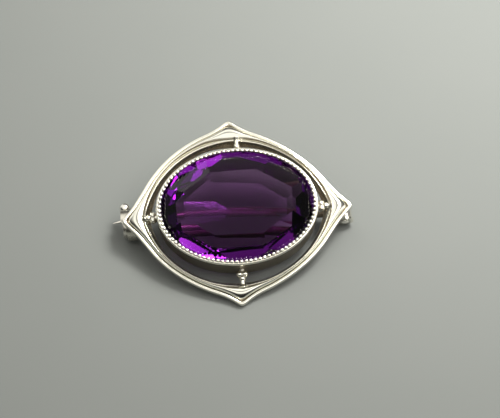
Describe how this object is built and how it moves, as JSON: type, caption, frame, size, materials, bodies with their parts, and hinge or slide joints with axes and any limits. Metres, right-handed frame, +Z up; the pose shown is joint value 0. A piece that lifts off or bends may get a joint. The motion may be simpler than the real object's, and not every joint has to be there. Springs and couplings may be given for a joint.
{
  "type": "amethyst brooch",
  "caption": "Openwork four-pointed silver brooch with a large oval faceted stone in a beaded collar, a hinged pin and a safety catch.",
  "frame": {"origin": "on the table, under the middle of the box that the brooch covers", "axes": "+Z up from the table; +X from the catch's cusp to the hinge's cusp, along the brooch's long axis. The brooch's back leans 19.2 degrees towards -Y, as it rests"},
  "size_m": [0.0316, 0.0239, 0.0104],
  "materials": {
    "silver": "polished silver, lightly worn, tarnished in its grooves",
    "amethyst": "polished facets, deep purple",
    "pin_silver": "drawn silver wire, dulled by wear",
    "catch_silver": "polished silver, worn"
  },
  "bodies": {
    "brooch": {"mount": "silver", "amethyst": "amethyst", "hinge_rivet": "pin_silver"},
    "pin": {"pin_stem": "pin_silver"},
    "catch": {"catch_sleeve": "catch_silver"}
  },
  "joints": [
    {"name": "pin_hinge", "type": "hinge", "parent": "brooch", "child": "pin", "pos_m": [0.01455, 0.00107, 0.0015], "axis": [0, -0.9443, -0.3291], "range_deg": [0, 100]},
    {"name": "catch_turn", "type": "hinge", "parent": "brooch", "child": "catch", "pos_m": [-0.01355, 0.0013, 0.0021], "axis": [1, 0, 0], "range_deg": [-100, 0]}
  ]
}
